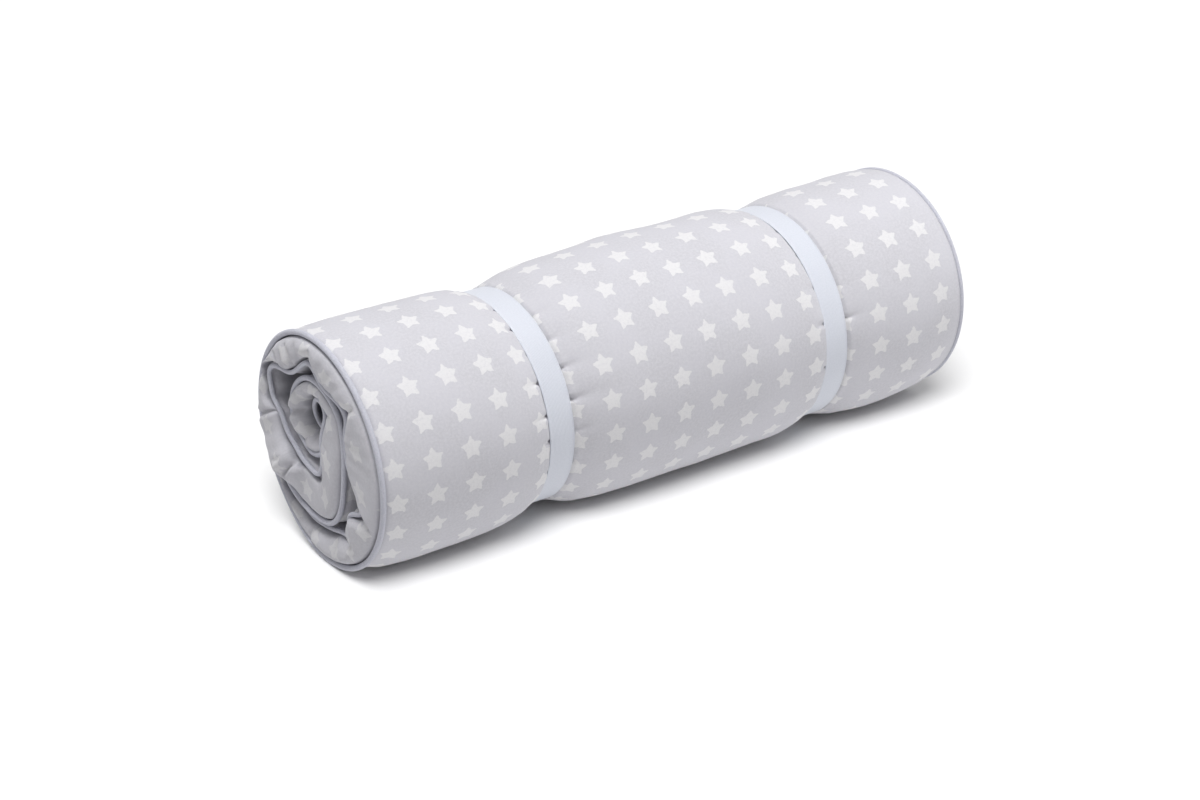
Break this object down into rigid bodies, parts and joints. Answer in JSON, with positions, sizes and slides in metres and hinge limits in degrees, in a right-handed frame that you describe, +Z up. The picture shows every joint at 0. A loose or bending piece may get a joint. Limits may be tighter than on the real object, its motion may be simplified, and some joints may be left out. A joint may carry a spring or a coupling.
{
  "type": "floor mattress",
  "caption": "Padded floor mattress with a printed cotton cover and piped edges, rolled up, held by elastic bands and lying on its side.",
  "frame": {"origin": "under the middle of the roll, on the surface that it rests on", "axes": "+X along the roll, across the mattress; -Y to the front, over which the outer panel runs up from the free end under the roll; +Z up"},
  "size_m": [0.607, 0.2082, 0.2072],
  "materials": {
    "star_cotton": "matt grey-lilac cotton weave with off-white stars",
    "piping_cotton": "the same cotton cut on the bias over a cord",
    "white_elastic": "satin ribbed woven elastic"
  },
  "bodies": {
    "root": {"mattress": "star_cotton", "piping_outer": "piping_cotton", "piping_inner": "piping_cotton", "band_near": "white_elastic", "band_far": "white_elastic"}
  },
  "joints": []
}
